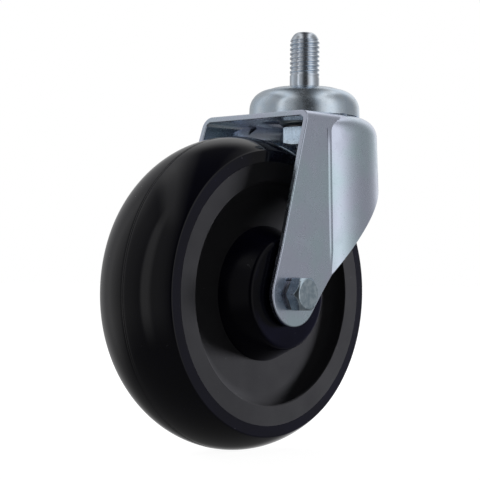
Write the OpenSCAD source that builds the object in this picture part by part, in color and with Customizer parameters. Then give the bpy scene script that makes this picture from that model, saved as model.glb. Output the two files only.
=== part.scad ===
// Swivel castor with a threaded stem, a pressed fork and a wide rubber-like wheel.
// +Z is up along the swivel axis. The origin lies on that axis, on the top face of the
// swivel cap, where the stem leaves it. The wheel trails towards -X and its axle is along Y.

/* [Stem] */
// Diameter of the threaded stem
stem_d = 12.7; // [10:0.1:14]
// Length of the stem above the swivel cap
stem_len = 24.7; // [16:0.1:50]
// Chamfer at the top of the stem
stem_chamfer = 2; // [0.5:0.1:2.4]
// Diameter of the shoulder by which the stem sits in the cap's hole
shoulder_d = 15; // [13.6:0.1:16.4]
// Diameter of the stem's shank inside the swivel
shank_d = 11.4; // [9:0.1:11.6]
// Diameter of the collar that clamps the stem to the cap
collar_d = 19; // [17:0.1:24]
// Thickness of that collar
collar_t = 2; // [1.2:0.1:3]

/* [Swivel cap] */
// Diameter of the swivel cap
cap_d = 47.3; // [44:0.1:50]
// Thickness of the cap's steel sheet
cap_t = 2.3; // [1.6:0.1:2.6]
// Radius round the cap's upper edge
cap_edge_r = 6.6; // [5.4:0.1:7.5]
// Diameter of the flat seat round the stem on top of the cap
cap_flat_d = 19; // [17:0.1:26]
// Fall of the cap's top from that seat to the rounded edge
cap_fall = 1.3; // [0.4:0.1:2]
// Height of the cap
cap_h = 12; // [11:0.1:14]
// Gap between the cap's rim and the fork's top plate
rim_gap = 0.6; // [0.3:0.05:1.2]

/* [Swivel races] */
// Diameter of the upper balls
upper_ball_d = 4.76; // [4:0.01:5.2]
// Number of upper balls
upper_balls = 23; // [12:1:23]
// Diameter of the lower balls
lower_ball_d = 3.2; // [2.4:0.1:3.4]
// Number of lower balls
lower_balls = 15; // [8:1:15]
// Gap between the balls and their races
race_clear = 0.04; // [0.02:0.01:0.1]
// Depth of the grooves that hold the lower balls
groove_depth = 0.6; // [0.3:0.05:0.8]
// Gap round the fork's boss inside the cap
boss_gap = 1; // [0.6:0.1:1.6]
// Gap between the shank and the hole in the fork
king_clear = 0.7; // [0.3:0.1:1]
// Diameter of the lower race cup
cup_d = 21; // [20:0.1:26]
// Thickness of the lower race cup
cup_t = 4.6; // [3:0.1:7]

/* [King nut] */
// Thickness of the lock washer
washer_t = 0.8; // [0.5:0.1:1.6]
// Diameter of the lock washer
washer_d = 18.2; // [15:0.1:19]
// Width across the flats of the king nut
king_af = 19; // [17:0.1:20]
// Height of the king nut
king_h = 7.9; // [6:0.1:9]
// Angle at which the king nut came to rest
king_turn = -14; // [-30:1:30]
// Length of stem that shows under the king nut
king_end = 1.8; // [1:0.1:2.4]

/* [Fork] */
// Thickness of the fork's steel sheet
sheet_t = 2.4; // [1.8:0.1:2.8]
// Width over the legs at the top plate
fork_top_w = 58.6; // [57:0.1:62]
// Width over the legs at the axle
fork_axle_w = 62.5; // [61:0.1:66]
// Distance from the swivel axis to the front edge of the top plate
front_reach = 31.2; // [28:0.1:34]
// Distance from the swivel axis to the axle
axle_offset = 41.1; // [36:0.1:46]
// Gap between the top plate and the wheel
wheel_gap = 8; // [7:0.1:14]
// Diameter of the rounded ends of the legs
leg_end_d = 26; // [22:0.1:30]
// Height above the axle where the legs become parallel
leg_straight = 17.6; // [14:0.1:24]
// Radius of the bends between the top plate and the legs
bend_r = 4.4; // [3.4:0.1:6]
// Radius of the press bend under the top plate, round the swivel's pocket
press_r = 3; // [1:0.1:4]
// Bulge of the round back beyond the flat legs
back_bulge = 3.5; // [1:0.1:5]
// Distance of the back's centre from the swivel axis
back_shift = 2.9; // [0:0.1:5]
// Radius of the shoulder round the back
shoulder_r = 8.5; // [6:0.1:9]
// Height of the back wall at its lowest
back_h = 21.4; // [16:0.1:30]
// Radius of the bow in the rear edge of the legs
rear_bow_r = 300; // [160:5:400]

/* [Wheel] */
// Diameter of the wheel over its tread
wheel_d = 127; // [110:0.5:135]
// Width of the tread over its edges
tread_w = 39.8; // [34:0.1:43]
// Depth of the tread at its sides
tread_depth = 11; // [8:0.1:14]
// Drop of the crowned running face from its middle to its edges
crown_drop = 6.6; // [3:0.1:7]
// Radius round the tread's edges
tread_edge_r = 1; // [0.4:0.1:1.4]
// Stand of the core's faces beyond the tread's edges
core_proud = 0.35; // [0.1:0.05:0.8]
// Width of the flat ring next to the tread
ring_w = 8; // [5:0.1:10]
// Width of the chamfer round the ring's inner edge
ring_edge = 0.4; // [0.2:0.1:0.8]
// Thickness of the web between ring and hub
web_t = 30; // [24:0.1:34]
// Radius of the bowl between ring and web
bowl_r = 5; // [3:0.1:7]
// Width of the groove that keys the tread to the core
key_w = 16; // [10:0.1:22]
// Depth of that groove
key_depth = 1.8; // [1:0.1:3]

/* [Hub] */
// Diameter of the hub covers
hub_d = 44.6; // [42:0.1:48]
// Diameter of the hub covers where they meet the web
hub_foot_d = 54; // [48:0.1:58]
// Radius round the rim of the hub covers
hub_edge_r = 2.2; // [1:0.1:3]
// Wall of the hub covers
cover_t = 2.4; // [1.6:0.1:3]
// Thickness of the hub covers' end faces
cover_face_t = 1.5; // [1:0.1:2.4]
// Gap between the hub covers and the legs
hub_gap = 1.35; // [0.8:0.05:2]
// Gap between the hub covers and the core
cover_clear = 0.05; // [0.02:0.01:0.2]

/* [Wheel bearings] */
// Diameter of the spigots by which the bearing housings sit in the core
spigot_d = 34; // [31:0.1:38]
// Length of those spigots
spigot_len = 5; // [3:0.1:7]
// Outside diameter of the bearings
bearing_d = 28.6; // [27:0.1:30]
// Bore of the bearings
bearing_bore = 12.7; // [12:0.1:13.4]
// Width of the bearings
bearing_w = 7.9; // [6.5:0.1:9]
// Diameter of the bearing balls
bearing_ball_d = 4; // [3:0.1:4.2]
// Number of balls in each bearing
bearing_balls = 9; // [6:1:12]
// Gap between the bearing balls and their races
bearing_clear = 0.03; // [0.01:0.01:0.06]
// Gap between the rings' extensions and the hub covers
seal_gap = 0.6; // [0.3:0.1:1.2]

/* [Axle] */
// Diameter of the axle bolt
bolt_d = 7.9; // [6:0.1:8.4]
// Gap round the bolt in the legs and the sleeve
bolt_clear = 0.15; // [0.05:0.05:0.3]
// Width across the flats of the bolt head and the nut
bolt_af = 12.7; // [11:0.1:14]
// Height of the bolt head
head_h = 5.6; // [4:0.1:7]
// Height of the chamfer that turns the bolt head's end down to a circle
head_chamfer = 1.7; // [0.5:0.1:2.4]
// Diameter of the spring washer under the bolt head
spring_d = 13; // [11:0.1:15]
// Thickness of that spring washer
spring_t = 1.4; // [0.8:0.1:2]
// Height of the nut's hexagon
nut_h = 6.2; // [4.5:0.1:8]
// Height of the nut's collar
nut_collar_h = 2.4; // [1.5:0.1:3.5]
// Length of bolt that shows beyond the nut
bolt_end = 1.2; // [0.6:0.1:3]

/* [Hidden] */
$fn = 64;
touch = 0.01;      // radial play of a pressed seat
over = 1;          // how far a cutter runs past what it cuts
sq = sqrt(0.5);

// Swivel heights, downwards from the cap's top face
cap_r = cap_d / 2;
cap_in_r = cap_r - cap_t;
plate_z = -(cap_h + rim_gap);                 // top of the fork's plate
race_in_r = cap_edge_r - cap_t;               // inner radius of the cap's edge
race_c = [cap_r - cap_edge_r, -cap_fall - cap_edge_r];  // its centre
u_r = upper_ball_d / 2;
u_pos = [race_c[0] + (race_in_r - u_r - race_clear) * sq,
         race_c[1] + (race_in_r - u_r - race_clear) * sq];
bed_r = u_r * 1.12;                           // groove of the fork's upper race
bed_c = [u_pos[0] + (bed_r - u_r - race_clear) * sq,
         u_pos[1] + (bed_r - u_r - race_clear) * sq];
boss_r = cap_in_r - boss_gap;
boss_z = bed_c[1];
boss_under = boss_z - sheet_t;
l_r = lower_ball_d / 2;
king_r = shank_d / 2;
hole_r = king_r + king_clear;
l_pitch = (hole_r + cup_d / 2) / 2;
l_z = boss_under + groove_depth - l_r - race_clear;
cup_top = l_z - l_r - race_clear + groove_depth;
cup_bottom = cup_top - cup_t;
king_top = cup_bottom - washer_t;
king_bottom = king_top - king_h;
stem_bottom = king_bottom - king_end;
pocket_r1 = u_pos[0] - (u_r + race_clear + sheet_t) * sq * 1.1;
pocket_r2 = boss_r - sheet_t * 0.8;

// Fork
axle_z = plate_z - sheet_t - wheel_gap - wheel_d / 2;
axle = [-axle_offset, axle_z];
top_half = fork_top_w / 2;
axle_half = fork_axle_w / 2;
straight_z = axle_z + leg_straight;
taper = (axle_half - top_half) / (plate_z - straight_z);
low_z = axle_z - leg_end_d / 2 - over;
end_r = leg_end_d / 2;
back_r = top_half + back_bulge;
back_x = back_r - back_shift;
leg_in = axle_half - sheet_t;                 // inner faces of the legs at the axle

// Wheel
wheel_r = wheel_d / 2;
tread_half = tread_w / 2;
core_half = tread_half + core_proud;
core_r = wheel_r - tread_depth;
ring_in_r = core_r - ring_w;
crown_r = (tread_half * tread_half + crown_drop * crown_drop) / (2 * crown_drop);
hub_half = leg_in - hub_gap;
hub_r = hub_d / 2;
boss_end = hub_half - cover_face_t;           // end faces of the core's hub
core_hub_r = hub_r - cover_t - cover_clear;
web_half = web_t / 2;
hub_foot_r = hub_foot_d / 2;
core_foot_r = hub_foot_r - cover_t - cover_clear;
bear_r = bearing_d / 2;
bear_in = boss_end - bearing_w;
bear_mid = boss_end - bearing_w / 2;
sleeve_r = bearing_bore / 2;
b_r = bearing_ball_d / 2;
b_pitch = (bear_r + sleeve_r) / 2;
inner_r = b_pitch - b_r * 0.8;                // outside of the inner rings
outer_r = b_pitch + b_r * 0.8;                // inside of the outer rings
lip_r = inner_r - 0.4;                        // the inner rings' extensions
bolt_r = bolt_d / 2;

// Turns a revolved profile drawn as [radius, height] so that its axis lies along the axle
module on_axle() translate([axle[0], 0, axle[1]]) rotate([-90, 0, 0]) children();

// A hexagon whose ends are turned down to a circle; spread is the chamfers' width to height
module hex_blank(af, h, chamfer_low, chamfer_high, spread = 1.9) {
    corner = af / sqrt(3);
    intersection() {
        cylinder(r = corner, h = h, $fn = 6);
        rotate_extrude() polygon([
            [0, 0], [corner - chamfer_low * spread, 0], [corner + 0.01, chamfer_low],
            [corner + 0.01, h - chamfer_high], [corner - chamfer_high * spread, h], [0, h]]);
    }
}

module stem() color([0.66, 0.69, 0.72]) {
    c = stem_chamfer;
    s = stem_d / 2;
    e = 0.8;
    rotate_extrude() polygon([
        [0, stem_len], [s - c, stem_len], [s, stem_len - c], [s, 0], [shoulder_d / 2, 0],
        [shoulder_d / 2, -cap_t], [collar_d / 2, -cap_t], [collar_d / 2, -cap_t - collar_t],
        [king_r, -cap_t - collar_t], [king_r, stem_bottom + e], [king_r - e, stem_bottom], [0, stem_bottom]]);
}

// Half section of the cap; inset gives its inner face. Its top falls until it runs into the
// rounded edge
module cap_section(inset) {
    r = cap_edge_r - inset;
    p = [cap_flat_d / 2, -inset];
    t = race_c + [0.6, r - 0.15];
    low = -cap_h - (inset > 0 ? over : 0);
    polygon([[0, -inset], p, t, race_c, [race_c[0], low], [0, low]]);
    intersection() {
        translate(race_c) circle(r = r);
        translate(race_c - [over, over]) square(r + 2 * over);
    }
    translate([0, low]) square([race_c[0] + r, race_c[1] - low]);
}

module swivel_cap() color([0.70, 0.73, 0.76]) rotate_extrude() difference() {
    cap_section(0);
    cap_section(cap_t);
    translate([0, -cap_t - over]) square([shoulder_d / 2 + touch, cap_t + 2 * over]);
}

module race_cup() color([0.60, 0.65, 0.70]) rotate_extrude() difference() {
    e = cup_t * 0.16;
    polygon([[king_r + touch, cup_top], [cup_d / 2, cup_top], [cup_d / 2, cup_bottom + e],
             [cup_d / 2 - e, cup_bottom], [king_r + touch, cup_bottom]]);
    translate([l_pitch, l_z]) circle(r = l_r + race_clear);
}

module lock_washer() color([0.35, 0.37, 0.40]) translate([0, 0, king_top]) difference() {
    cylinder(d = washer_d, h = washer_t);
    translate([0, 0, -over]) cylinder(r = king_r + touch, h = washer_t + 2 * over);
}

module king_nut() color([0.74, 0.78, 0.82]) difference() {
    translate([0, 0, king_bottom]) rotate([0, 0, king_turn]) hex_blank(king_af, king_h, 0.9, 0.4);
    translate([0, 0, king_bottom - over]) cylinder(r = king_r + touch, h = king_h + 2 * over);
}

module ball_ring(count, pitch, d) {
    for (i = [0 : count - 1]) rotate([0, 0, i * 360 / count]) translate([pitch, 0, 0]) sphere(d = d);
}

module upper_ball_ring() color([0.80, 0.82, 0.84])
    translate([0, 0, u_pos[1]]) ball_ring(upper_balls, u_pos[0], upper_ball_d);

module lower_ball_ring() color([0.80, 0.82, 0.84])
    translate([0, 0, l_z]) ball_ring(lower_balls, l_pitch, lower_ball_d);

// Section across the fork's legs; inset gives its inner face
module leg_section(inset) {
    w = top_half - inset;
    r = max(bend_r - inset, 0.5);
    t = plate_z - inset;
    a = axle_half - inset;
    union() {
        polygon([[-(w - r), t], [w - r, t], [w, t - r], [a, straight_z], [a, low_z], [-a, low_z],
                 [-a, straight_z], [-w, t - r]]);
        for (s = [-1, 1]) translate([s * (w - r), t - r]) circle(r = r);
    }
}

// Round back of the fork; inset gives its inner face
module back_body(inset) {
    r0 = back_r - inset;
    s = shoulder_r - inset;
    t = plate_z - inset;
    translate([-back_shift, 0, 0]) rotate_extrude() union() {
        polygon([[0, t], [r0 - s, t], [r0 - s, t - s], [r0, t - s],
                 [r0 + taper * (plate_z - low_z), low_z], [0, low_z]]);
        translate([r0 - s, t - s]) circle(r = s);
    }
}

module fork_body(inset) {
    reach = axle_offset + leg_end_d;
    translate([-reach, 0, 0]) rotate([90, 0, 90])
        linear_extrude(reach - back_shift) leg_section(inset);
    back_body(inset);
}

// Side view of the fork: the front and rear edges of its legs meet the round ends as tangents
module fork_side() {
    front = [-front_reach, plate_z];
    rear = [back_x, plate_z - back_h];
    df = norm(front - axle);
    fa = atan2(front[1] - axle[1], front[0] - axle[0]) + acos(end_r / df);
    dr = norm(rear - axle);
    ra = end_r + rear_bow_r;
    along = (ra * ra - rear_bow_r * rear_bow_r + dr * dr) / (2 * dr);
    off = sqrt(ra * ra - along * along);
    u = (rear - axle) / dr;
    bow = axle + along * u + off * [u[1], -u[0]];
    foot = axle + end_r * (bow - axle) / norm(bow - axle);
    top = plate_z + over;
    slope = (front[0] - (axle[0] + end_r * cos(fa))) / (front[1] - (axle[1] + end_r * sin(fa)));
    rotate([90, 0, 0]) translate([0, 0, -axle_half * 2]) linear_extrude(axle_half * 4) union() {
        translate(axle) circle(r = end_r);
        difference() {
            polygon([axle + end_r * [cos(fa), sin(fa)], front + over * [slope, 1],
                     [back_x + 3 * over, top], [back_x + 3 * over, rear[1]], rear, foot, axle]);
            translate(bow) circle(r = rear_bow_r, $fn = 256);
        }
    }
}

// Raised boss with the upper race outside and the lower race under it
module race_boss() rotate_extrude() difference() {
    polygon([[0, boss_z], [bed_c[0], boss_z], [bed_c[0], bed_c[1] - bed_r],
             [boss_r - 0.7, bed_c[1] - bed_r], [boss_r, bed_c[1] - bed_r - 0.7],
             [boss_r, plate_z - sheet_t / 2], [0, plate_z - sheet_t / 2]]);
    translate(bed_c) circle(r = bed_r);
}

module boss_pocket() rotate_extrude() union() {
    low = plate_z - sheet_t;
    polygon([[0, boss_under], [pocket_r1, boss_under], [pocket_r2, low + press_r],
             [pocket_r2, low - over], [0, low - over]]);
    difference() {
        translate([pocket_r2 - touch, low - over]) square([press_r + touch, press_r + over]);
        translate([pocket_r2 + press_r, low + press_r]) circle(r = press_r);
    }
}

module fork() color([0.62, 0.64, 0.67]) difference() {
    union() {
        intersection() {
            difference() {
                fork_body(0);
                fork_body(sheet_t);
            }
            fork_side();
        }
        race_boss();
    }
    boss_pocket();
    translate([0, 0, l_z]) rotate_extrude() translate([l_pitch, 0]) circle(r = l_r + race_clear);
    translate([0, 0, boss_under - over]) cylinder(r = hole_r, h = sheet_t + 2 * over);
    on_axle() translate([0, 0, -axle_half - over])
        cylinder(r = bolt_r + bolt_clear, h = fork_axle_w + 2 * over);
}

module axle_sleeve() color([0.72, 0.74, 0.77]) on_axle() difference() {
    translate([0, 0, -leg_in]) cylinder(r = sleeve_r, h = 2 * leg_in);
    translate([0, 0, -leg_in - over]) cylinder(r = bolt_r + bolt_clear, h = 2 * (leg_in + over));
}

module axle_bolt() color([0.66, 0.70, 0.73]) on_axle() {
    end = axle_half + nut_h + nut_collar_h + bolt_end;
    c = bolt_d * 0.12;
    seat = -axle_half - spring_t;
    translate([0, 0, seat - head_h]) hex_blank(bolt_af, head_h, head_chamfer, 0.05, 0.95);
    rotate_extrude() polygon([[0, seat], [bolt_r, seat], [bolt_r, end - c],
                              [bolt_r - c, end], [0, end]]);
}

module head_washer() color([0.45, 0.47, 0.50]) on_axle() translate([0, 0, -axle_half - spring_t])
    difference() {
        cylinder(d = spring_d, h = spring_t);
        translate([0, 0, -over]) cylinder(r = bolt_r + bolt_clear, h = spring_t + 2 * over);
    }

module axle_nut() color([0.66, 0.70, 0.73]) on_axle() translate([0, 0, axle_half]) {
    wall = bolt_af / 2 - 1.2;
    rim = nut_h + nut_collar_h;
    difference() {
        union() {
            hex_blank(bolt_af, nut_h, 0.5, 0.6);
            rotate_extrude() union() {
                polygon([[0, 0], [bolt_af / 2 - 0.2, 0], [bolt_af / 2 - 0.2, rim - 0.8],
                         [bolt_af / 2 - 1, rim], [0, rim]]);
                translate([bolt_af / 2 - 1, rim - 0.8]) circle(r = 0.8);
            }
        }
        translate([0, 0, -over]) cylinder(r = bolt_r + touch, h = rim + 2 * over);
        translate([0, 0, nut_h]) cylinder(r = wall, h = nut_collar_h - 0.5);
        translate([0, 0, nut_h]) cylinder(r = wall - 0.8, h = nut_collar_h + over);
    }
}

module nut_insert() color([0.20, 0.35, 0.70]) on_axle() translate([0, 0, axle_half + nut_h])
    difference() {
        cylinder(r = bolt_af / 2 - 1.2 - touch, h = nut_collar_h - 0.5);
        translate([0, 0, -over]) cylinder(r = bolt_r + touch, h = nut_collar_h + 2 * over);
    }

// Draws a bearing part at each end of the hub, its outer side outwards
module both_ends() for (s = [0, 1]) mirror([0, 0, s]) children();

module inner_rings() color([0.75, 0.77, 0.80]) on_axle() both_ends() rotate_extrude() difference() {
    polygon([[sleeve_r + touch, bear_in], [inner_r, bear_in], [inner_r, boss_end],
             [lip_r, boss_end], [lip_r, leg_in], [sleeve_r + touch, leg_in]]);
    translate([b_pitch, bear_mid]) circle(r = b_r + bearing_clear);
}

module outer_rings() color([0.75, 0.77, 0.80]) on_axle() both_ends() rotate_extrude() difference() {
    translate([outer_r, bear_in]) square([bear_r - outer_r, bearing_w]);
    translate([b_pitch, bear_mid]) circle(r = b_r + bearing_clear);
}

module wheel_ball_rings() color([0.80, 0.82, 0.84]) on_axle() both_ends()
    translate([0, 0, bear_mid]) ball_ring(bearing_balls, b_pitch, bearing_ball_d);

module ball_cages() color([0.55, 0.45, 0.25]) on_axle() for (side = [-1, 1]) {
    gap = (outer_r - inner_r) * 0.25;
    translate([0, 0, side * bear_mid]) difference() {
        rotate_extrude() translate([inner_r + gap, -b_r * 1.4])
            square([outer_r - inner_r - 2 * gap, b_r * 2.8]);
        for (i = [0 : bearing_balls - 1]) rotate([0, 90, i * 360 / bearing_balls])
            translate([0, 0, inner_r - 1]) cylinder(r = b_r + bearing_clear, h = outer_r - inner_r + 2);
    }
}

module tread() color([0.06, 0.06, 0.13]) on_axle() rotate_extrude() difference() {
    e = tread_edge_r;
    corner = [wheel_r - crown_r + sqrt(pow(crown_r - e, 2) - pow(tread_half - e, 2)),
              tread_half - e];
    meet = corner[1] * crown_r / (crown_r - e);
    union() {
        intersection() {
            translate([wheel_r - crown_r, 0]) circle(r = crown_r, $fn = 128);
            translate([core_r, -meet]) square([wheel_r - core_r + over, 2 * meet]);
        }
        polygon([[core_r, -core_half], [corner[0], -tread_half], [corner[0], tread_half],
                 [core_r, core_half]]);
        for (s = [-1, 1]) translate([corner[0], s * corner[1]]) circle(r = e);
    }
    core_outline();
}

// Right half of the core's rim as the tread sees it
module core_outline() polygon([
    [0, -core_half - over], [core_r, -core_half - over], [core_r, -key_w / 2 - key_depth],
    [core_r - key_depth, -key_w / 2], [core_r - key_depth, key_w / 2],
    [core_r, key_w / 2 + key_depth], [core_r, core_half + over], [0, core_half + over]]);

module wheel_core() color([0.27, 0.27, 0.29]) on_axle() rotate_extrude() difference() {
    intersection() {
        core_outline();
        translate([0, -core_half]) square([core_r, 2 * core_half]);
    }
    for (s = [0, 1]) mirror([0, s]) {
        bowl_section();
        translate([0, web_half - spigot_len]) square([spigot_d / 2 + touch, spigot_len + over]);
    }
    translate([0, -web_half]) square([outer_r - 0.5, web_t]);
}

// Bowl between the core's ring and its hub
module bowl_section() {
    c = [ring_in_r - bowl_r, web_half + bowl_r];
    polygon([[0, web_half], [c[0], web_half], c, [ring_in_r, c[1]],
             [ring_in_r, core_half + over], [0, core_half + over]]);
    translate(c) circle(r = bowl_r);
    polygon([[ring_in_r - ring_edge, core_half - ring_edge], [ring_in_r, core_half - ring_edge],
             [ring_in_r + ring_edge, core_half], [ring_in_r + ring_edge, core_half + over],
             [ring_in_r - ring_edge, core_half + over]]);
}

// Conical housings that carry the bearings at each end of the hub
module bearing_housings() color([0.62, 0.66, 0.70]) on_axle() both_ends() rotate_extrude()
    polygon([[outer_r - 0.5, web_half - spigot_len], [spigot_d / 2, web_half - spigot_len],
             [spigot_d / 2, web_half], [core_foot_r, web_half], [core_hub_r, boss_end],
             [bear_r + touch, boss_end], [bear_r + touch, bear_in], [outer_r - 0.5, bear_in]]);

// Its cone meets the rounded rim as a tangent
module hub_cover() {
    e = hub_edge_r;
    bore = lip_r + seal_gap;
    c = [hub_r - e, hub_half - e];
    d = [hub_foot_r, web_half] - c;
    a = atan2(d[1], d[0]) + acos(e / norm(d));
    rotate_extrude() difference() {
        union() {
            polygon([[bore, web_half], [hub_foot_r, web_half], c + e * [cos(a), sin(a)], c,
                     [hub_r - e, hub_half], [bore, hub_half]]);
            translate(c) circle(r = e);
        }
        polygon([[0, web_half - over], [core_foot_r + cover_clear, web_half - over],
                 [core_foot_r + cover_clear, web_half], [core_hub_r + cover_clear, boss_end],
                 [inner_r + seal_gap, boss_end],
                 [inner_r + seal_gap, boss_end + 0.3], [0, boss_end + 0.3]]);
    }
}

module hub_cover_near() color([0.07, 0.07, 0.15]) on_axle() mirror([0, 0, 1]) hub_cover();

module hub_cover_far() color([0.07, 0.07, 0.15]) on_axle() hub_cover();

stem();
swivel_cap();
race_cup();
lock_washer();
king_nut();
upper_ball_ring();
lower_ball_ring();
fork();
axle_sleeve();
axle_bolt();
head_washer();
axle_nut();
nut_insert();
inner_rings();
tread();
wheel_core();
bearing_housings();
hub_cover_near();
hub_cover_far();
outer_rings();
wheel_ball_rings();
ball_cages();
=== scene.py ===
from math import acos, cos, pi, radians, sin, sqrt

import bmesh
import bpy
from mathutils import Matrix, Vector
from mathutils.bvhtree import BVHTree


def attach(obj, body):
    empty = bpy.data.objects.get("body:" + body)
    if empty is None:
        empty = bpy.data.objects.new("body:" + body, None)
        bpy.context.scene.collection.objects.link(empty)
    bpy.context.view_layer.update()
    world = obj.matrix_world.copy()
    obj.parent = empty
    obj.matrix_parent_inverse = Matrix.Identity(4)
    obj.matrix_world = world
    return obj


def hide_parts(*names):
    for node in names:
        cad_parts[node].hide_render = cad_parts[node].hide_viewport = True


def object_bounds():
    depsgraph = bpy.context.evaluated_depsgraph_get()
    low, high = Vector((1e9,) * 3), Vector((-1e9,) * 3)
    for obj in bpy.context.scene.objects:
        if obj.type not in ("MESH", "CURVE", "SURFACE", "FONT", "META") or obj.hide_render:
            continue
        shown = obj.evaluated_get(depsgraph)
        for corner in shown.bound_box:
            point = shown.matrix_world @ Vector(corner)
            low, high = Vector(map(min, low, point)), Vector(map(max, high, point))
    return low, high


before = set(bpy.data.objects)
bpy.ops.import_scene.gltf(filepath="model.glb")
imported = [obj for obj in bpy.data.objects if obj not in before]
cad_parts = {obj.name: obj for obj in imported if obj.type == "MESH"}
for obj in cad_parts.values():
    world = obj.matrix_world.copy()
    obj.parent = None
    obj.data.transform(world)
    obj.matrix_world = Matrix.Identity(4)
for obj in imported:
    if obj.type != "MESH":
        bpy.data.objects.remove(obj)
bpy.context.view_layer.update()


# The camera stands low beside the near leg and in front of the wheel's tread, a little
# over 60 cm away, where 140 points of the photograph put it.
aim = Vector((-0.039674, 0.0, -0.065006))
distance = 0.618956
az, el, roll = radians(-47.1287), radians(-1.2138), radians(0.5378)
back = Vector((sin(az) * cos(el), -cos(az) * cos(el), sin(el)))
level = (-back).cross(Vector((0, 0, 1))).normalized()
upright = level.cross(-back)
side = cos(roll) * level + sin(roll) * upright
top = -sin(roll) * level + cos(roll) * upright
lens = bpy.data.cameras.new("studio_camera")
lens.sensor_width = 36.0
lens.lens = 113.815
lens.clip_start = 0.01
camera = bpy.data.objects.new("studio_camera", lens)
bpy.context.scene.collection.objects.link(camera)
place = aim + back * distance
camera.matrix_world = Matrix(((side.x, top.x, back.x, place.x),
                              (side.y, top.y, back.y, place.y),
                              (side.z, top.z, back.z, place.z), (0, 0, 0, 1)))
bpy.context.scene.camera = camera
bpy.context.scene.view_settings.view_transform = "Standard"


def add(tree, kind, inputs=(), **settings):
    """Adds a shader node; an input is given a value, or the socket that feeds it."""
    node = tree.nodes.new(kind)
    for key, value in settings.items():
        setattr(node, key, value)
    for key, value in dict(inputs).items():
        socket = node.inputs[key]
        if isinstance(value, bpy.types.NodeSocket):
            tree.links.new(value, socket)
        else:
            socket.default_value = value
    return node


def ramp(tree, factor, stops):
    """A colour ramp with the given stops of position and grey."""
    node = add(tree, "ShaderNodeValToRGB", {0: factor})
    while len(node.color_ramp.elements) < len(stops):
        node.color_ramp.elements.new(0.5)
    for element, (at, grey) in zip(node.color_ramp.elements, stops):
        element.position = at
        element.color = (grey, grey, grey, 1)
    return node.outputs[0]


# The studio is a white tent with a few darker panels, which the plated steel mirrors as
# soft bands: it is bright behind the camera's left and behind the castor, dark between.
# Overhead, a dark strip runs along the camera's view between two lit panels.
camera_right = (0.68, -0.733, 0.0)
matte_share = 0.03
world = bpy.data.worlds.new("white_tent")
bpy.context.scene.world = world
world.use_nodes = True
tent = world.node_tree
tent.nodes.clear()
ray = add(tent, "ShaderNodeTexCoord").outputs["Generated"]
part = add(tent, "ShaderNodeSeparateXYZ", {0: ray})
turn = add(tent, "ShaderNodeMath", {0: part.outputs["Y"], 1: part.outputs["X"]},
           operation="ARCTAN2")
round_tent = add(tent, "ShaderNodeMapRange", {0: turn.outputs[0], 1: -pi, 2: pi, 3: 0.0, 4: 1.0})
panels = ramp(tent, round_tent.outputs[0], [
    (0.000, 0.42), (0.022, 0.42), (0.047, 0.34), (0.075, 0.13), (0.100, 0.04), (0.165, 0.04),
    (0.186, 0.20), (0.206, 0.60), (0.231, 0.80), (0.256, 0.95), (0.281, 1.00), (0.306, 0.72),
    (0.333, 0.46), (0.361, 0.36), (0.389, 0.30), (0.461, 0.31), (0.500, 0.50), (0.542, 0.90),
    (0.583, 0.90), (0.619, 0.60), (0.667, 0.42), (0.756, 0.45), (0.789, 0.66), (0.822, 0.60),
    (0.844, 0.52), (0.875, 0.40), (0.917, 0.36), (0.951, 0.26), (0.959, 0.95),
    (0.985, 0.95), (1.000, 0.42)])
above = add(tent, "ShaderNodeMapRange", {0: part.outputs["Z"], 1: 0.62, 2: 0.86, 3: 0.0, 4: 1.0},
            interpolation_type="SMOOTHSTEP")
across = add(tent, "ShaderNodeVectorMath", {0: ray, 1: camera_right}, operation="DOT_PRODUCT")
width = add(tent, "ShaderNodeMapRange", {0: across.outputs["Value"], 1: -1.0, 2: 1.0,
                                         3: 0.0, 4: 1.0})
overhead = ramp(tent, width.outputs[0], [
    (0.20, 0.25), (0.26, 0.80), (0.31, 0.80), (0.37, 0.35), (0.43, 0.06), (0.56, 0.06),
    (0.63, 0.25), (0.70, 1.00), (0.74, 1.00), (0.80, 0.30)])
roof = add(tent, "ShaderNodeMix", {0: above.outputs[0], 6: panels, 7: overhead},
           data_type="RGBA")
below = add(tent, "ShaderNodeMapRange", {0: part.outputs["Z"], 1: -0.15, 2: -0.6, 3: 0.0, 4: 1.0},
            interpolation_type="SMOOTHSTEP")
ground = add(tent, "ShaderNodeMix", {0: below.outputs[0], 6: roof.outputs[2],
                                     7: (0.16, 0.16, 0.16, 1)}, data_type="RGBA")
path = add(tent, "ShaderNodeLightPath").outputs
dimmed = add(tent, "ShaderNodeMath", {0: path["Is Diffuse Ray"], 1: matte_share - 1.0, 2: 1.0},
             operation="MULTIPLY_ADD")
lit = add(tent, "ShaderNodeBackground", {0: ground.outputs[2], 1: dimmed.outputs[0]})
seen = add(tent, "ShaderNodeBackground", {0: (1, 1, 1, 1), 1: 1.0})
both = add(tent, "ShaderNodeMixShader", {0: path["Is Camera Ray"], 1: lit.outputs[0],
                                         2: seen.outputs[0]})
add(tent, "ShaderNodeOutputWorld", {0: both.outputs[0]})


# One soft lamp to the right of the camera lights the wheel's side, so that the hub and the
# leg throw their shadows to the left; weak ones over and behind it lift the other sides.
def lamp(name, at, size, power):
    """A round lamp, aimed at the castor's middle, that no mirror and no camera sees."""
    light = bpy.data.lights.new(name, "AREA")
    light.shape = "DISK"
    light.size = size
    light.energy = power
    stand = bpy.data.objects.new(name, light)
    bpy.context.scene.collection.objects.link(stand)
    stand.location = at
    toward = Vector((-0.03, 0, -0.06)) - Vector(at)
    stand.rotation_euler = toward.to_track_quat("-Z", "Y").to_euler()
    stand.visible_glossy = False
    stand.visible_camera = False


lamp("side_lamp", (0.68, -0.36, -0.09), 0.2, 17.5)
lamp("roof_lamp", (-0.15, -0.10, 0.75), 0.7, 0.8)
lamp("far_lamp", (0.15, 0.80, 0.20), 0.5, 9.0)

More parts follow.
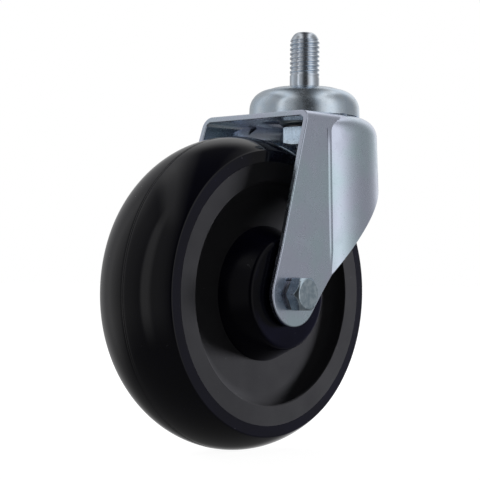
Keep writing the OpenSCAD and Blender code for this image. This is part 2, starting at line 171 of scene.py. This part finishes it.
# The floor is a dark matte sheet under the wheel that looks pale only through a painted glow. The
# glow whitens it away from the wheel and is a little dimmer near it, as a painted faint shadow.
# Mirror rays pass it, so that the lower parts reflect the same panels as the upper ones.
floor_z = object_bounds()[0][2] - 0.0002
reach = 6
sheet = bpy.data.meshes.new("studio_floor")
sheet.from_pydata([(-reach, -reach, floor_z), (reach, -reach, floor_z),
                   (reach, reach, floor_z), (-reach, reach, floor_z)], [], [(0, 1, 2, 3)])
floor = bpy.data.objects.new("studio_floor", sheet)
bpy.context.scene.collection.objects.link(floor)
paper = bpy.data.materials.new("painted_glow_paper")
paper.use_nodes = True
pulp = paper.node_tree
pulp.nodes.clear()
fibres = add(pulp, "ShaderNodeTexNoise", {"Scale": 40.0, "Detail": 4.0})
pale = ramp(pulp, fibres.outputs["Fac"], [(0.3, 0.14), (0.7, 0.16)])
looked_at = add(pulp, "ShaderNodeLightPath").outputs["Is Camera Ray"]
spot = add(pulp, "ShaderNodeTexCoord").outputs["Object"]
away = add(pulp, "ShaderNodeVectorMath", {0: spot}, operation="LENGTH")
# painted glow and painted shade: to the camera the floor emits 0.90 near the castor and 1.0 farther
# off, a painted faint shadow round the wheel. Other rays get a faint painted glow of 0.02.
white = add(pulp, "ShaderNodeMapRange", {0: away.outputs["Value"], 1: 0.10, 2: 0.35,
                                         3: 0.90, 4: 1.0})
painted_glow = add(pulp, "ShaderNodeMath", {0: looked_at, 1: white.outputs[0], 2: 0.02},
           operation="MULTIPLY_ADD")
matte = add(pulp, "ShaderNodeBsdfPrincipled", {
    "Base Color": pale, "Roughness": 0.95, "Specular IOR Level": 0.1,
    "Emission Color": (1, 1, 1, 1), "Emission Strength": painted_glow.outputs[0]})
add(pulp, "ShaderNodeOutputMaterial", {0: matte.outputs[0]})
sheet.materials.append(paper)
floor.visible_glossy = False


# The stem is a turned and zinc-plated steel bolt: a 1/2 inch thread of 13 turns to the
# inch on top, a plain neck that is riveted into the cap, and a threaded tail for the nut.
def new_piece(name, points, faces, finish, body, nodes=(), sharp=35):
    """A smooth-shaded piece in metres, from points in millimetres."""
    mesh = bpy.data.meshes.new(name)
    mesh.from_pydata([(x / 1000, y / 1000, z / 1000) for x, y, z in points], [], faces)
    mesh.materials.append(finish)
    mesh.shade_smooth()
    mesh.set_sharp_from_angle(angle=radians(sharp))
    piece = bpy.data.objects.new(name, mesh)
    bpy.context.scene.collection.objects.link(piece)
    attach(piece, body)
    if nodes:
        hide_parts(*nodes)
    return piece


def turned(rows, around, wave=None, closed=False):
    """Points and faces of a lathe shape about Z; wave changes a radius at a height and turn."""
    points, faces = [], []
    for r, z in rows:
        for k in range(around):
            a = 2 * pi * k / around
            q = wave(r, z, a) if wave else r
            points.append((q * cos(a), q * sin(a), z))
    count = len(rows)
    for i in range(count if closed else count - 1):
        j = (i + 1) % count
        for k in range(around):
            m = (k + 1) % around
            faces.append((i * around + k, j * around + k, j * around + m, i * around + m))
    return points, faces


def shader_group(name, inputs, outputs):
    """A node group with the sockets of its input and its output node."""
    group = bpy.data.node_groups.new(name, "ShaderNodeTree")
    for label, kind, value in inputs:
        socket = group.interface.new_socket(label, in_out="INPUT", socket_type=kind)
        socket.default_value = value
    for label, kind in outputs:
        group.interface.new_socket(label, in_out="OUTPUT", socket_type=kind)
    return (group, group.nodes.new("NodeGroupInput").outputs,
            group.nodes.new("NodeGroupOutput").inputs)


# zinc plate: a cloudy tint between two hues, dull spots and fine drawing lines
plate, given, result = shader_group("zinc_plate", [
    ("Tint", "NodeSocketColor", (0.7, 0.7, 0.74, 1)),
    ("Second Tint", "NodeSocketColor", (0.7, 0.74, 0.7, 1)),
    ("Cloud Scale", "NodeSocketFloat", 60.0), ("Roughness", "NodeSocketFloat", 0.3),
    ("Spots", "NodeSocketFloat", 0.08), ("Lines", "NodeSocketVector", (200.0, 200.0, 2000.0)),
    ("Scuffs", "NodeSocketFloat", 0.3)],
    [("Color", "NodeSocketColor"), ("Roughness", "NodeSocketFloat"), ("Height", "NodeSocketFloat")])
where = add(plate, "ShaderNodeTexCoord").outputs["Object"]
cloud = add(plate, "ShaderNodeTexNoise", {"Vector": where, "Scale": given["Cloud Scale"],
                                          "Detail": 3.0, "Roughness": 0.55})
cloud_mask = ramp(plate, cloud.outputs["Fac"], [(0.38, 0.0), (0.62, 1.0)])
hue = add(plate, "ShaderNodeMix", {0: cloud_mask, 6: given["Tint"], 7: given["Second Tint"]},
          data_type="RGBA")
speck = add(plate, "ShaderNodeTexNoise", {"Vector": where, "Scale": 900.0, "Detail": 2.0})
speck_mask = ramp(plate, speck.outputs["Fac"], [(0.60, 1.0), (0.74, 0.90)])
spotted = add(plate, "ShaderNodeMix", {0: 1.0, 6: hue.outputs[2], 7: speck_mask},
              data_type="RGBA", blend_type="MULTIPLY")
stretched = add(plate, "ShaderNodeVectorMath", {0: where, 1: given["Lines"]}, operation="MULTIPLY")
lines = add(plate, "ShaderNodeTexNoise", {"Vector": stretched.outputs[0], "Scale": 1.0,
                                          "Detail": 3.0, "Roughness": 0.6})
rub = add(plate, "ShaderNodeTexNoise", {"Vector": where, "Scale": 130.0, "Detail": 5.0,
                                        "Roughness": 0.7})
rub_mask = ramp(plate, rub.outputs["Fac"], [(0.52, 0.0), (0.66, 1.0)])
rubbed = add(plate, "ShaderNodeMath", {0: rub_mask, 1: given["Scuffs"]}, operation="MULTIPLY")
dull = add(plate, "ShaderNodeMath", {0: lines.outputs["Fac"], 1: given["Spots"],
                                     2: given["Roughness"]}, operation="MULTIPLY_ADD")
worn = add(plate, "ShaderNodeMath", {0: rubbed.outputs[0], 1: 0.18, 2: dull.outputs[0]},
           operation="MULTIPLY_ADD")
deep = add(plate, "ShaderNodeMath", {0: speck.outputs["Fac"], 1: 0.35, 2: lines.outputs["Fac"]},
           operation="MULTIPLY_ADD")
plate.links.new(spotted.outputs[2], result["Color"])
plate.links.new(worn.outputs[0], result["Roughness"])
plate.links.new(deep.outputs[0], result["Height"])


def plated_steel(name, tint, second, roughness, cloud_scale=60.0, spots=0.08,
                 lines=(200.0, 200.0, 2000.0), scuffs=0.3, bump=0.03):
    """Bright zinc over steel; its values go into the shared plate group."""
    finish = bpy.data.materials.new(name)
    finish.use_nodes = True
    tree = finish.node_tree
    tree.nodes.clear()
    skin = add(tree, "ShaderNodeGroup", node_tree=plate)
    for label, value in (("Tint", (*tint, 1)), ("Second Tint", (*second, 1)),
                         ("Cloud Scale", cloud_scale), ("Roughness", roughness),
                         ("Spots", spots), ("Lines", lines), ("Scuffs", scuffs)):
        skin.inputs[label].default_value = value
    relief = add(tree, "ShaderNodeBump", {"Strength": bump, "Distance": 0.0002,
                                          "Height": skin.outputs["Height"]})
    metal = add(tree, "ShaderNodeBsdfPrincipled", {
        "Base Color": skin.outputs["Color"], "Roughness": skin.outputs["Roughness"],
        "Metallic": 1.0, "Normal": relief.outputs[0]})
    add(tree, "ShaderNodeOutputMaterial", {0: metal.outputs[0]})
    return finish


pitch = 25.4 / 13
thread_r, thread_low, thread_deep, thread_run = 6.35, 4.8, 0.33 * pitch, 3.5
tail_r, tail_high, tail_end, tail_point, tail_pitch = 5.7, -14.5, -25.98, 0.78, 1.5
tail_deep, tail_run = 0.60 * tail_pitch, 1.2
crest_share, flank_share, row_step = 0.22, 0.66, 0.1
seat_z, under_z, neck_foot, shoulder_r, rivet_r, collar_z = 0.6, -2.3, 1.1, 7.5, 9.5, -4.3
nose = [(0.0, 24.7), (2.4, 24.66), (3.5, 24.45), (4.3, 24.0), (4.9, 23.4), (5.5, 22.5),
        (6.0, 21.5), (6.28, 20.7), (6.35, 20.2)]


def thread_wave(r, z, a):
    """Cuts the stem's and the tail's thread, which have round flanks and run out inward."""
    if z > thread_low:
        crest, step, deep, run = thread_r, pitch, thread_deep, (z - thread_low) / thread_run
    elif z < tail_high:
        crest, step, deep, run = tail_r, tail_pitch, tail_deep, (tail_high - z) / tail_run
    else:
        return r
    phase = (z / step - a / (2 * pi)) % 1.0
    flank = min(max((abs(2 * phase - 1) - crest_share) / flank_share, 0.0), 1.0)
    flank = flank * flank * (3 - 2 * flank)
    return min(r, crest - deep * flank * min(1.0, run))


rows = []
for (r0, z0), (r1, z1) in zip(nose, nose[1:]):
    count = max(1, round((z0 - z1) / row_step))
    rows += [(r0 + (r1 - r0) * k / count, z0 + (z1 - z0) * k / count) for k in range(count)]
full_z = nose[-1][1]
rows += [(thread_r, full_z - row_step * k)
         for k in range(int((full_z - thread_low) / row_step) + 1)]
rows += [(thread_r, 2.6), (thread_r, seat_z + neck_foot + 0.02)]
rows += [(thread_r + neck_foot * (1 - cos(a)), seat_z + neck_foot * (1 - sin(a)))
         for a in (0.2, 0.5, 0.8, 1.1, 1.35, 1.55)]
rows += [(shoulder_r, seat_z - 0.05), (shoulder_r, under_z), (rivet_r, under_z),
         (rivet_r, collar_z), (tail_r, collar_z)]
for k in range(int((tail_high - tail_end) / row_step) + 1):
    z = tail_high - row_step * k
    rows.append((min(tail_r, tail_r - tail_point + (z - tail_end)), z))
rows += [(tail_r - tail_point, tail_end), (0.0, tail_end)]
points, faces = turned(rows, 96, thread_wave)
stem_zinc = plated_steel("stem_zinc", (0.62, 0.70, 0.80), (0.70, 0.74, 0.80), 0.17,
                         cloud_scale=140.0, lines=(250.0, 250.0, 5200.0), scuffs=0.25, bump=0.04)
new_piece("threaded_stem", points, faces, stem_zinc, "head", ["stem"], sharp=50)


# The swivel cap is a cup drawn from 2.3 mm sheet and zinc plated. Its top is a little
# domed round the stem's seat, its edge is well rounded and its side spreads to the rim.
cap_r, rim_z, edge_r, edge_drop, edge_start = 23.5, -12.0, 8.6, 0.9, 0.16
edge_c = (cap_r - edge_r, seat_z - edge_drop - edge_r)
race_c, race_r, bore_r, hole_r = (17.05, -7.9), 4.3, 21.35, shoulder_r + 0.01
profile = [(hole_r, seat_z), (11.6, seat_z), (12.6, seat_z - 0.04), (13.5, seat_z - 0.16)]
profile += [(edge_c[0] + edge_r * sin(a), edge_c[1] + edge_r * cos(a))
            for a in [edge_start + (pi / 2 - edge_start) * k / 14 for k in range(15)]]
profile += [(cap_r + 0.1, rim_z + 0.35), (cap_r + 0.05, rim_z + 0.1), (cap_r - 0.15, rim_z),
            (bore_r + 0.3, rim_z), (bore_r + 0.05, rim_z + 0.1), (bore_r, rim_z + 0.35)]
profile += [(race_c[0] + race_r * cos(a), race_c[1] + race_r * sin(a))
            for a in [pi / 2 * k / 8 for k in range(9)]]
profile += [(rivet_r, under_z), (hole_r, under_z)]
points, faces = turned(profile, 128, closed=True)
cap_zinc = plated_steel("cap_zinc", (0.61, 0.72, 0.84), (0.68, 0.76, 0.84), 0.20,
                        cloud_scale=150.0, lines=(120.0, 120.0, 900.0), scuffs=0.7, bump=0.09)
new_piece("pressed_cap", points, faces, cap_zinc, "head", ["swivel_cap"], sharp=50)


# The race cup under the fork's plate holds the lower balls. It is turned and plated, and
# the lock washer below it is blued spring steel.
def softened(name, node, width, finish, body, angle=32, segments=2, sharp=50,
             flat=0.6):
    """A copy of a CAD node whose sharp edges are rounded by the given width in mm. Points
    that the rounding pushes out of the node's skin are set back onto it."""
    proud = 0.03 / 1000
    work = bmesh.new()
    work.from_mesh(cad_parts[node].data)
    bmesh.ops.remove_doubles(work, verts=work.verts, dist=1e-6)
    bmesh.ops.dissolve_limit(work, angle_limit=radians(flat), use_dissolve_boundaries=False,
                             verts=work.verts, edges=work.edges)
    skin = BVHTree.FromBMesh(work)
    creases = [e for e in work.edges if len(e.link_faces) == 2
               and e.calc_face_angle(0.0) > radians(angle)]
    bmesh.ops.bevel(work, geom=creases, offset=width / 1000, segments=segments, profile=0.5,
                    affect="EDGES", clamp_overlap=False, loop_slide=True)
    for vert in work.verts:
        foot, normal, _, _ = skin.find_nearest(vert.co)
        if (vert.co - foot).dot(normal) > proud:
            vert.co = foot
    mesh = bpy.data.meshes.new(name)
    work.verts.index_update()
    mesh.from_pydata([v.co[:] for v in work.verts], [],
                     [[v.index for v in f.verts] for f in work.faces])
    work.free()
    mesh.materials.append(finish)
    mesh.shade_smooth()
    mesh.set_sharp_from_angle(angle=radians(sharp))
    piece = bpy.data.objects.new(name, mesh)
    bpy.context.scene.collection.objects.link(piece)
    even = piece.modifiers.new("even_faces", "WEIGHTED_NORMAL")
    even.keep_sharp = True
    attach(piece, body)
    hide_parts(node)
    return piece


cup_zinc = plated_steel("cup_zinc", (0.54, 0.60, 0.68), (0.58, 0.63, 0.64), 0.30,
                        lines=(150.0, 150.0, 4000.0))
softened("lower_race_cup", "race_cup", 0.2, cup_zinc, "head")
spring_steel = plated_steel("spring_steel", (0.20, 0.21, 0.24), (0.24, 0.23, 0.24), 0.38,
                            scuffs=0.6)
softened("king_washer", "lock_washer", 0.12, spring_steel, "head")

# The king nut is sawn from drawn hexagon bar, so its faces carry fine upright lines, and
# it is plated a little brighter than the sheet parts.
nut_zinc = plated_steel("nut_zinc", (0.60, 0.74, 0.90), (0.68, 0.80, 0.92), 0.20,
                        cloud_scale=110.0, lines=(1800.0, 1800.0, 90.0), scuffs=0.35, bump=0.30)
softened("king_hex_nut", "king_nut", 0.22, nut_zinc, "head")

# Two rings of loose balls carry the fork under the cap and over the race cup. They are
# hardened and polished, with a thin film of grease that dulls them in clouds.
ball_steel = plated_steel("ball_steel", (0.80, 0.81, 0.82), (0.76, 0.76, 0.74), 0.08,
                          cloud_scale=300.0, spots=0.03, scuffs=0.5, bump=0.0)


def finished(node, finish):
    """Gives a CAD node its material."""
    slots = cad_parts[node].data.materials
    slots.clear()
    slots.append(finish)


finished("upper_ball_ring", ball_steel)
finished("lower_ball_ring", ball_steel)

# The fork is pressed from 2.4 mm sheet: a flat top plate, two legs and a round back in
# one piece, zinc plated after pressing, with faint lilac and green clouds in the plate.
fork_zinc = plated_steel("fork_zinc", (0.655, 0.705, 0.85), (0.61, 0.74, 0.825), 0.22,
                         cloud_scale=48.0, lines=(90.0, 700.0, 60.0), scuffs=0.40, bump=0.035)
fork = softened("pressed_fork", "fork", 0.55, fork_zinc, "horn", angle=62,
                segments=4, sharp=24, flat=0.05)

# The round back widens a little downward and takes the normals of that cone, inside and
# out, so that the plate mirrors without the facets of its mesh.
back_x, back_r, back_low, back_spread = -2.9, 34.75, -72.9, 0.037
sheet_t, back_high, skin_gap, aligned = 2.4, -32, 0.4, 0.975
evened = fork.evaluated_get(bpy.context.evaluated_depsgraph_get()).data
normals = [corner.vector.copy() for corner in evened.corner_normals]
for face in fork.data.polygons:
    for corner in face.loop_indices:
        x, y, z = fork.data.vertices[fork.data.loops[corner].vertex_index].co * 1000
        if z > back_high:
            continue
        cone = Vector((x - back_x, y, 0)).normalized() + Vector((0, 0, back_spread))
        cone.normalize()
        off = sqrt((x - back_x) ** 2 + y * y) - back_r + back_spread * (z - back_low)
        if abs(off) < skin_gap and face.normal.dot(cone) > aligned:
            normals[corner] = cone
        elif abs(off + sheet_t) < skin_gap and face.normal.dot(cone) < -aligned:
            normals[corner] = -cone
fork.data.normals_split_custom_set(normals)
fork.modifiers.clear()

# The punch leaves a fine raised line on each leg, just before the flat sheet turns into the
# round back. It is part of the sheet, and follows the crease as the legs spread.
plate_z, leg_in, leg_out, leg_run, bulge = -12.6, 29.3, 31.25, 56.3, 3.5
line_z, line_step, line_steps, line_inset, sunk = -19.5, 2.0, 28, 0.9, 0.02
ridge = ((-1.3, -0.04), (-0.9, 0.04), (-0.5, 0.17), (-0.1, 0.27), (0.3, 0.24), (0.6, 0.10),
         (0.8, -0.06))
for side_name, sign in (("near", -1), ("far", 1)):
    points, faces = [], []
    for i in range(line_steps + 1):
        z = line_z - line_step * i
        leg_y = min(leg_in + (leg_out - leg_in) * (plate_z - z) / leg_run, leg_out)
        crease = back_x - sqrt((leg_y + bulge) ** 2 - leg_y ** 2)
        fade = min(1.0, i / 3, (line_steps - i) / 3)
        for beside, rise in ridge:
            points.append((crease - line_inset + beside, sign * (leg_y + rise * fade - sunk), z))
    n = len(ridge)
    for i in range(line_steps):
        for k in range(n - 1):
            quad = (i * n + k, i * n + k + 1, (i + 1) * n + k + 1, (i + 1) * n + k)
            faces.append(quad if sign > 0 else quad[::-1])
    new_piece("press_line_" + side_name, points, faces, fork_zinc, "horn", sharp=80)

# The axle is a hexagon bolt through both legs, with a steel sleeve between them that the
# inner bearing rings are clamped on.
wheel_x, wheel_z = -41.1, -86.5
finished("axle_sleeve", cup_zinc)
bolt_zinc = plated_steel("bolt_zinc", (0.38, 0.48, 0.56), (0.58, 0.68, 0.76), 0.18,
                         cloud_scale=420.0, lines=(900.0, 300.0, 900.0), scuffs=0.4, bump=0.05)
softened("axle_hex_bolt", "axle_bolt", 0.18, bolt_zinc, "horn")

# The spring washer under the bolt's head is one flat turn of square wire, split at its
# upper front and set a little by the head's pressure.
spring_in, spring_out, spring_edge, spring_set = 4.1, 6.5, 0.12, 0.108
split_at, split_gap, around = radians(128), 0.025, 72
wire = ((spring_in, 0.06), (spring_out - spring_edge, 0.02), (spring_out, 0.14),
        (spring_out, 1.12), (spring_out - spring_edge, 1.26), (spring_in, 1.24))
points, faces = [], []
for k in range(around + 1):
    a = split_at + 2 * pi * (k / around) * (1 - split_gap)
    for r, t in wire:
        y = -leg_out - t - spring_set * k / around
        points.append((wheel_x + r * cos(a), y, wheel_z + r * sin(a)))
n = len(wire)
for k in range(around):
    for i in range(n):
        j = (i + 1) % n
        faces.append((k * n + i, k * n + j, (k + 1) * n + j, (k + 1) * n + i))
faces += [tuple(range(n)), tuple(around * n + i for i in reversed(range(n)))]
new_piece("split_washer", points, faces, spring_steel, "horn", ["head_washer"])

# The lock nut on the far end has a hexagon and a rolled collar, which holds a ring of
# blue nylon that grips the bolt's thread.
softened("axle_lock_nut", "axle_nut", 0.18, bolt_zinc, "horn")

# moulded plastic: cloudy colour, a fine skin and pale dust in specks
skin_group, given, result = shader_group("moulded_skin", [
    ("Colour", "NodeSocketColor", (0.02, 0.02, 0.02, 1)),
    ("Clouded", "NodeSocketColor", (0.03, 0.03, 0.03, 1)),
    ("Dust", "NodeSocketColor", (0.3, 0.3, 0.3, 1)), ("Dust Amount", "NodeSocketFloat", 0.5),
    ("Roughness", "NodeSocketFloat", 0.4), ("Spread", "NodeSocketFloat", 0.1),
    ("Skin Scale", "NodeSocketFloat", 700.0)],
    [("Color", "NodeSocketColor"), ("Roughness", "NodeSocketFloat"), ("Height", "NodeSocketFloat")])
where = add(skin_group, "ShaderNodeTexCoord").outputs["Object"]
mottle = add(skin_group, "ShaderNodeTexNoise", {"Vector": where, "Scale": 70.0, "Detail": 4.0})
mottle_mask = ramp(skin_group, mottle.outputs["Fac"], [(0.35, 0.0), (0.65, 1.0)])
base = add(skin_group, "ShaderNodeMix", {0: mottle_mask, 6: given["Colour"],
                                         7: given["Clouded"]}, data_type="RGBA")
fleck = add(skin_group, "ShaderNodeTexNoise", {"Vector": where, "Scale": 420.0, "Detail": 2.0})
fleck_mask = ramp(skin_group, fleck.outputs["Fac"], [(0.735, 0.0), (0.80, 1.0)])
dusty = add(skin_group, "ShaderNodeMath", {0: fleck_mask, 1: given["Dust Amount"]},
            operation="MULTIPLY")
colour = add(skin_group, "ShaderNodeMix", {0: dusty.outputs[0], 6: base.outputs[2],
                                           7: given["Dust"]}, data_type="RGBA")
rough = add(skin_group, "ShaderNodeMath", {0: mottle.outputs["Fac"], 1: given["Spread"],
                                           2: given["Roughness"]}, operation="MULTIPLY_ADD")
grain = add(skin_group, "ShaderNodeTexNoise", {"Vector": where, "Scale": given["Skin Scale"],
                                               "Detail": 3.0})
skin_group.links.new(colour.outputs[2], result["Color"])
skin_group.links.new(rough.outputs[0], result["Roughness"])
skin_group.links.new(grain.outputs["Fac"], result["Height"])


def moulded(name, colour, clouded, roughness, spread=0.1, dust=(0.3, 0.3, 0.32), amount=0.5,
            skin=700.0, bump=0.1, gloss=0.5):
    """A moulded plastic; its values go into the shared skin group."""
    finish = bpy.data.materials.new(name)
    finish.use_nodes = True
    tree = finish.node_tree
    tree.nodes.clear()
    cover = add(tree, "ShaderNodeGroup", node_tree=skin_group)
    for label, value in (("Colour", (*colour, 1)), ("Clouded", (*clouded, 1)),
                         ("Dust", (*dust, 1)), ("Dust Amount", amount),
                         ("Roughness", roughness), ("Spread", spread), ("Skin Scale", skin)):
        cover.inputs[label].default_value = value
    relief = add(tree, "ShaderNodeBump", {"Strength": bump, "Distance": 0.0002,
                                          "Height": cover.outputs["Height"]})
    plastic = add(tree, "ShaderNodeBsdfPrincipled", {
        "Base Color": cover.outputs["Color"], "Roughness": cover.outputs["Roughness"],
        "IOR": 1.5, "Specular IOR Level": gloss, "Normal": relief.outputs[0]})
    add(tree, "ShaderNodeOutputMaterial", {0: plastic.outputs[0]})
    return finish


blue_nylon = moulded("blue_nylon", (0.03, 0.10, 0.42), (0.04, 0.13, 0.48), 0.42)
finished("nut_insert", blue_nylon)

# The wheel runs on two ball bearings. Their rings are ground steel, the balls polished,
# and the cages moulded from natural nylon.
finished("inner_rings", cup_zinc)
finished("outer_rings", cup_zinc)
finished("bearing_housings", cup_zinc)
finished("wheel_ball_rings", ball_steel)
natural_nylon = moulded("natural_nylon", (0.50, 0.40, 0.22), (0.56, 0.46, 0.27), 0.45)
finished("ball_cages", natural_nylon)

# The tread is cast polyurethane, glossy and navy, bonded round the core. It is crowned,
# and the two halves of its mould leave a fine line round the middle.
tread_half, tread_edge, tread_side = 19.9, 1.0, 20.25
crown_drop, wheel_r, core_r = 6.6, 63.5, 52.5
band_half, band_slope, band_deep, bond_r = 8.0, 1.8, 1.78, core_r + 0.02
crown_r = (tread_half ** 2 + crown_drop ** 2) / (2 * crown_drop)
crown_c = wheel_r - crown_r


corner_y = tread_half - tread_edge
corner_r = crown_c + sqrt((crown_r - tread_edge) ** 2 - corner_y ** 2)
meet = acos((corner_r - crown_c) / (crown_r - tread_edge))
half = []
for i in range(31):
    a = meet * i / 30
    half.append((crown_c + crown_r * cos(a), crown_r * sin(a)))
for i in range(1, 8):
    a = meet + (pi / 2 - meet) * i / 7
    half.append((corner_r + tread_edge * cos(a), corner_y + tread_edge * sin(a)))
half.append((bond_r, tread_side - 0.02))
seam = [(wheel_r - 0.04, 0.55), (wheel_r - 0.14, 0.42), (wheel_r - 0.02, 0.26)]
outer = half[1:][::-1] + seam
profile = outer + [(r, -y) for r, y in reversed(outer)]
inner = [(bond_r, -band_half - band_slope), (core_r - band_deep, -band_half),
         (core_r - band_deep, band_half), (bond_r, band_half + band_slope)]
points, faces = turned(profile + inner, 240, closed=True)
points = [(wheel_x + x, z, wheel_z - y) for x, y, z in points]
tread_finish = moulded("navy_polyurethane", (0.0015, 0.0015, 0.005), (0.002, 0.002, 0.007), 0.07,
                       spread=0.05, dust=(0.16, 0.16, 0.20), amount=0.25, skin=260.0, bump=0.03,
                       gloss=0.25)
new_piece("crowned_tread", points, faces, tread_finish, "wheel", ["tread"], sharp=40)

# The core is injection moulded in matt dark plastic: a flat ring beside the tread, a
# shallow dish, and a hub that holds the bearings under the covers.
core_finish = moulded("dark_moulding", (0.036, 0.036, 0.040), (0.043, 0.043, 0.047), 0.50,
                      spread=0.08, amount=0.12, skin=900.0, bump=0.06, gloss=0.03)
finished("wheel_core", core_finish)

# A glossy navy cover is pressed over each end of the hub. It keeps dirt out of the
# bearing, and is moulded in the colour of the tread.
cover_finish = moulded("navy_cover", (0.002, 0.002, 0.006), (0.003, 0.003, 0.009), 0.12,
                       spread=0.08, dust=(0.20, 0.20, 0.23), amount=0.35, skin=500.0, bump=0.03,
                       gloss=0.10)
finished("hub_cover_near", cover_finish)
finished("hub_cover_far", cover_finish)
